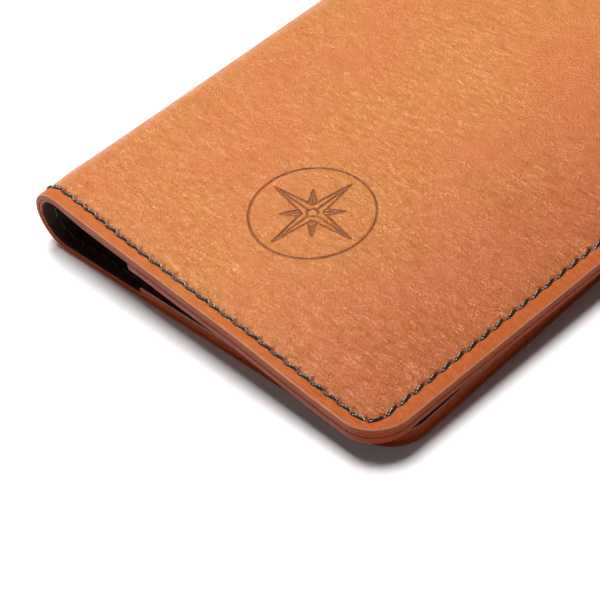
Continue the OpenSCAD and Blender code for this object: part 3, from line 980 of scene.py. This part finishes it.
def leather(name, light, middle, dark, edge, rough, wrinkle=1.0, rim_highlight_strength=0.0):
    """One leather: three dyes, its edge paint, its gloss, its wrinkles and how strong its rim's painted
    highlight is.
    """
    material = bpy.data.materials.new(name)
    material.use_nodes = True
    s = Shader(material)
    place = s.scaled(s.attribute("flat", "Vector"), IN_MM)
    x = s.parts(place)[0]
    phase, inward, line = s.parts(s.attribute("marks", "Vector"))

    # dye: clouds, a burnished border, veins and pores, and painted shade towards the fore-edge
    clouds = s.noise(place, 0.035, 3.0, 0.5, 0.5)
    mottle = s.noise(place, 0.21, 3.0, 0.55, 0.4)
    streaks = s.noise(s.scaled(place, (0.5, 1.2, 1.0), math.radians(-38)), 0.6, 5.0, 0.65, 1.4)
    fine = s.noise(place, 2.6, 3.0, 0.65)
    grains = s.cells(place, 2.3)
    pores = s.cells(s.scaled(place, (1.0, 1.4, 1.0), math.radians(20)), 0.9)
    veins = s.maths("ABSOLUTE", s.maths("SUBTRACT", s.noise(place, 0.13, 4.0, 0.6, 1.6), 0.5))
    colour = s.mix(s.span(clouds, 0.34, 0.66), middle, light)
    # painted shade: the cover darkens towards the fore-edge, where less light falls
    colour = s.mix(s.span(x, 48.0, 104.0, 0.0, 0.72), colour, dark)
    colour = s.mix(s.span(mottle, 0.50, 0.78, 0.0, 0.30), colour, dark)
    colour = s.mix(s.span(streaks, 0.52, 0.72, 0.0, 0.20), colour, dark)
    colour = s.mix(s.span(veins, 0.012, 0.0, 0.0, 0.20), colour, dark)
    colour = s.mix(s.span(fine, 0.42, 0.68, 0.0, 0.22), colour, dark)
    colour = s.mix(s.span(grains, 0.25, 0.65, 0.0, 0.16), colour, dark)
    colour = s.mix(s.span(pores, 0.10, 0.02, 0.0, 0.35), colour, dark)
    colour = s.mix(s.span(inward, 1.9, 0.0, 0.0, 0.30), colour, dark)
    colour = s.mix(s.span(inward, -0.1, -0.8, 0.0, 0.35), colour, dark)

    # the pinch mark at every stitch hole, a dent with its shade painted into the colour, and the pressed
    # lines of the emblem
    turned = s.maths("FRACT", s.maths("ADD", phase, 0.5))
    hole = s.maths("MULTIPLY", s.maths("SUBTRACT", turned, 0.5), STITCH_PITCH / MM)
    slanted = s.maths("ABSOLUTE", s.maths("ADD", hole, s.maths("MULTIPLY", inward, 0.18)))
    reach = s.maths("ADD", slanted, s.maths("MULTIPLY", s.maths("ABSOLUTE", inward), 0.75))
    pinch_and_shade = s.maths("MULTIPLY", s.span(reach, 1.30, 0.20), s.span(inward, -0.7, -0.1))
    groove = s.span(line, 0.30, 0.12)
    # painted shade: the colour darkens in the dent beside each stitch hole, as the crease's shade
    colour = s.mix(s.maths("MULTIPLY", pinch_and_shade, 0.80), colour, darker(dark, 0.24))
    colour = s.mix(s.maths("MULTIPLY", groove, 0.72), colour, darker(dark, 0.30))

    # the edge paint on the wall of the rim, and a painted highlight along its rounded top
    rounding = s.attribute("paint", "Fac")
    painted = s.span(rounding, 0.10, 0.45)
    rim_gloss_and_highlight = s.maths("MULTIPLY", s.span(rounding, 0.0, 0.22), s.span(rounding, 0.85, 0.45))
    # the streaks along the painted wall are partly uneven paint and partly painted sheen for its gloss
    along = s.noise(s.scaled(place, (0.25, 0.25, 4.0)), 0.8, 3.0, 0.6)
    edge_colour = s.mix(s.span(along, 0.35, 0.7), edge, darker(edge, 0.80))
    colour = s.mix(painted, colour, edge_colour)
    # painted highlight: a light colour on the rounded rim stands in for the light glancing off it
    colour = s.mix(s.maths("MULTIPLY", rim_gloss_and_highlight, rim_highlight_strength), colour, RIM_HIGHLIGHT_COLOUR)
    s.link(colour, s.surface.inputs["Base Color"])

    # gloss and relief, from the wrinkles down to the grain
    folds = s.maths("ABSOLUTE", s.maths("SUBTRACT", streaks, 0.5))
    gloss = s.span(mottle, 0.3, 0.75, rough - 0.05, rough + 0.08)
    gloss = s.maths("ADD", gloss, s.span(fine, 0.3, 0.7, 0.05, -0.05))
    border = s.span(inward, -0.2, -0.9)
    gloss = s.maths("ADD", gloss, s.maths("MULTIPLY", border, 0.24))
    s.link(s.maths("SUBTRACT", gloss, s.maths("MULTIPLY", painted, 0.20)), s.surface.inputs["Roughness"])
    dull = s.maths("MAXIMUM", s.maths("MULTIPLY", border, 0.36), s.maths("MULTIPLY", painted, 0.54))
    shine = s.maths("ADD", s.maths("SUBTRACT", 0.62, dull), s.maths("MULTIPLY", rim_gloss_and_highlight, 0.4 * rim_highlight_strength))
    s.link(shine, s.surface.inputs["Specular IOR Level"])
    calm = s.maths("MULTIPLY", s.maths("SUBTRACT", 1.0, s.maths("MULTIPLY", painted, 0.75)),
                   s.span(inward, -1.2, 0.6, 0.6, 1.0))
    creased = s.maths("MULTIPLY", s.span(folds, 0.0, 0.10), s.span(clouds, 0.40, 0.60, 0.6, 1.0))
    normal = s.bump(s.maths("MULTIPLY", creased, calm), 0.12 * MM * wrinkle, strength=0.8)
    normal = s.bump(s.maths("MULTIPLY", grains, calm), 0.13 * MM, normal, 1.0)
    normal = s.bump(s.maths("MULTIPLY", fine, calm), 0.18 * MM, normal, 1.0)
    normal = s.bump(s.span(pores, 0.0, 0.12), 0.03 * MM, normal, 0.6)
    normal = s.bump(s.maths("ADD", pinch_and_shade, s.maths("MULTIPLY", groove, 0.4)), -0.30 * MM, normal, 0.9)
    normal = s.bump(along, 0.03 * MM, normal, 0.3)
    s.link(normal, s.surface.inputs["Normal"])
    return material


tan_leather = leather("tan outer leather", rgb(214, 137, 62), rgb(203, 119, 46), rgb(168, 71, 12),
                      rgb(158, 66, 20), rough=0.29, rim_highlight_strength=0.62)
# painted shade: the lining and pocket leathers are partly dark dye and partly darkened for the shade inside
# the closed cover
lining_leather_with_shade = leather("dark lining leather with painted shade", rgb(82, 46, 32), rgb(68, 36, 25), rgb(46, 24, 17),
                         rgb(154, 66, 24), rough=0.5, wrinkle=0.5)
pocket_leather_with_shade = leather("brown pocket leather with painted shade", rgb(96, 54, 36), rgb(80, 44, 29), rgb(56, 29, 20),
                         rgb(146, 60, 22), rough=0.46, wrinkle=0.6, rim_highlight_strength=0.45)

# %% [markdown]
# ## Thread and board
#
# Waxed thread is nearly black, with a coat that gives every twist a small highlight. The boards between
# leather and lining are grey-brown fibre. They are never seen, but they stiffen the covers, so they keep
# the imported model's own shape and only get a material. Both materials read Object coordinates, which
# move with the body, so their patterns never slide.

# %% Thread and board
s = Shader(thread)
place = s.scaled(s.add("ShaderNodeTexCoord").outputs["Object"], IN_MM)
fibres = s.noise(place, 7.0, 3.0, 0.6)
s.link(s.mix(s.span(fibres, 0.35, 0.75), rgb(10, 8, 8), rgb(44, 38, 34)), s.surface.inputs["Base Color"])
s.surface.inputs["Roughness"].default_value = 0.22
s.surface.inputs["Specular IOR Level"].default_value = 1.0
s.surface.inputs["Coat Weight"].default_value = 0.8
s.surface.inputs["Coat Roughness"].default_value = 0.16
s.link(s.bump(fibres, 0.06 * MM, strength=0.6), s.surface.inputs["Normal"])

board = bpy.data.materials.new("fibre board")
board.use_nodes = True
s = Shader(board)
place = s.scaled(s.add("ShaderNodeTexCoord").outputs["Object"], IN_MM)
specks = s.noise(place, 1.6, 4.0, 0.7)
fibre = s.mix(s.span(specks, 0.35, 0.7), rgb(176, 158, 130), rgb(132, 112, 86))
s.link(fibre, s.surface.inputs["Base Color"])
s.surface.inputs["Roughness"].default_value = 0.9
s.link(s.bump(specks, 0.05 * MM, strength=0.6), s.surface.inputs["Normal"])
print("materials:", [m.name for m in bpy.data.materials if m.users])

# %% [markdown]
# ## Riding on the bodies
#
# The halves of the outer leather and the lining, and the edge rows of stitches, stay where the fold put
# them and get no body. The panels inside the covers don't bend, so they ride.

# %% Bodies
MIDDLE_Y = COVER_L / 2
ROLL_MIDDLE = Vector(fold(BACK, np.array([float(spine_middle(BACK, MIDDLE_Y))]), MIDDLE_Y, 0.0)[0])
ROLL_START = {}
for side in (BACK, FRONT):
    tangent_x = (FOLD_R + side * MIDDLE_Y * math.sin(SKEW)) / math.cos(SKEW)
    ROLL_START[side] = Vector(fold(side, np.array([tangent_x]), MIDDLE_Y, 0.0)[0])


def finish_piece(piece, material, body, nodes):
    """Material, slot and body of a piece. body is BACK or FRONT for a half over the roll, which stays where
    it is and gets no body.
    """
    if material is not None:
        piece.data.materials.clear()
        piece.data.materials.append(material)
    if body == BACK:
        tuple(ROLL_START[BACK])
        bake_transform(piece)
    elif body == FRONT:
        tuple(ROLL_START[FRONT])
        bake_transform(piece)
    else:
        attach(piece, body)
    if nodes:
        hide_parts(*nodes)


finish_piece(outer_back, tan_leather, BACK, ["back_outer", "spine_outer"])
finish_piece(outer_front, tan_leather, FRONT, ["front_outer"])
finish_piece(linings[BACK], lining_leather_with_shade, BACK, ["back_lining", "spine_lining"])
finish_piece(linings[FRONT], lining_leather_with_shade, FRONT, ["front_lining"])
finish_piece(outer_rows[BACK], None, BACK, ["back_stitches", "spine_stitches"])
finish_piece(outer_rows[FRONT], None, FRONT, ["front_stitches"])
finish_piece(inner_rows[BACK], None, BACK, ["back_inner_stitches"])
finish_piece(inner_rows[FRONT], None, FRONT, ["front_inner_stitches"])
finish_piece(passport_sleeve, pocket_leather_with_shade, "back_cover", ["passport_sleeve"])
for slot_piece, name in zip(slots, ("rear", "middle", "front")):
    finish_piece(slot_piece, pocket_leather_with_shade, "back_cover", [f"card_slot_{name}"])
finish_piece(slot_stitches, None, "back_cover", ["card_slot_stitches"])
finish_piece(document_sleeve, pocket_leather_with_shade, "front_cover", ["document_sleeve"])
finish_piece(ticket_pocket, pocket_leather_with_shade, "front_cover", ["ticket_pocket"])
finish_piece(ticket_stitches, None, "front_cover", ["ticket_pocket_stitches"])
for name in ("back_stiffener", "front_stiffener"):
    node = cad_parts[name]
    node.data.materials.clear()
    node.data.materials.append(board)

# %% [markdown]
# ## Floor, light and camera
#
# The organizer lies on a white table. A large soft light hangs nearly overhead, so the shadow stays close
# under the cover. A second one behind the spine gives the leather its sheen, and a weak one in front
# opens up the edges. The white floor is a little over-lit, so that it reads as pure white.

# %% Floor
floor_mesh = bpy.data.meshes.new("floor")
FLOOR_HALF = 3.0
floor_corners = [(-FLOOR_HALF, -FLOOR_HALF, 0), (FLOOR_HALF, -FLOOR_HALF, 0),
                 (FLOOR_HALF, FLOOR_HALF, 0), (-FLOOR_HALF, FLOOR_HALF, 0)]
floor_mesh.from_pydata(floor_corners, [], [(0, 1, 2, 3)])
floor_mesh.transform(Matrix.Translation((0, 0, -0.03 * MM)))
floor = bpy.data.objects.new("floor", floor_mesh)
bpy.context.scene.collection.objects.link(floor)
white = bpy.data.materials.new("white table")
white.use_nodes = True
s = Shader(white)
s.surface.inputs["Base Color"].default_value = (0.95, 0.93, 0.945, 1.0)
s.surface.inputs["Roughness"].default_value = 0.9
s.surface.inputs["Specular IOR Level"].default_value = 0.1
s.surface.inputs["Emission Color"].default_value = (1.0, 0.95, 0.96, 1.0)
s.surface.inputs["Emission Strength"].default_value = 0.01
floor_mesh.materials.append(white)
print("floor:", 2 * FLOOR_HALF, "m wide")

# %% Light
world = bpy.data.worlds.new("soft room")
bpy.context.scene.world = world
world.use_nodes = True
sky = world.node_tree.nodes["Background"]
sky.inputs["Color"].default_value = (1.0, 1.0, 1.0, 1.0)
sky.inputs["Strength"].default_value = 0.05


def softbox(name, place, aim, size, power, colour=(1.0, 1.0, 1.0)):
    data = bpy.data.lights.new(name, "AREA")
    data.shape, data.size, data.size_y = "RECTANGLE", size[0], size[1]
    data.energy, data.color = power, colour
    lamp = bpy.data.objects.new(name, data)
    bpy.context.scene.collection.objects.link(lamp)
    lamp.location = place
    lamp.rotation_mode = "QUATERNION"
    lamp.rotation_quaternion = (Vector(aim) - Vector(place)).to_track_quat("-Z", "Y")
    return lamp


softbox("key", (-0.13, 0.01, 0.90), (0, -0.03, 0), (0.32, 0.32), 9.4, (1.0, 0.99, 0.975))
softbox("behind", (-0.42, 0.22, 0.74), (0, -0.03, 0), (0.26, 0.26), 3.4)
softbox("front", (-0.15, -0.80, 0.30), (0, -0.05, 0), (0.5, 0.25), 0.4)

# %% Camera
CAMERA_TURN, CAMERA_LIFT, CAMERA_ROLL = (math.radians(a) for a in (52.05, 43.60, -10.70))
CAMERA_AWAY = 403.1 * MM
AIM = Vector((6.7 * MM, -52.2 * MM, 0.0))
back_dir = Vector((math.sin(CAMERA_TURN) * math.cos(CAMERA_LIFT),
                   -math.cos(CAMERA_TURN) * math.cos(CAMERA_LIFT),
                   math.sin(CAMERA_LIFT)))
level = Vector((math.cos(CAMERA_TURN), math.sin(CAMERA_TURN), 0.0))
upright = back_dir.cross(level)
right = level * math.cos(CAMERA_ROLL) + upright * math.sin(CAMERA_ROLL)
up = upright * math.cos(CAMERA_ROLL) - level * math.sin(CAMERA_ROLL)
camera_data = bpy.data.cameras.new("camera")
camera_data.lens = 116.8
camera_data.sensor_width = 36
camera_data.clip_start, camera_data.clip_end = 0.01, 20
camera = bpy.data.objects.new("camera", camera_data)
bpy.context.scene.collection.objects.link(camera)
turned = Matrix((right, up, back_dir)).transposed()
camera.matrix_world = Matrix.Translation(AIM + back_dir * CAMERA_AWAY) @ turned.to_4x4()
bpy.context.scene.camera = camera
bpy.context.scene.view_settings.view_transform = "Standard"
print("camera at", [round(c / MM, 1) for c in camera.matrix_world.translation], "mm")
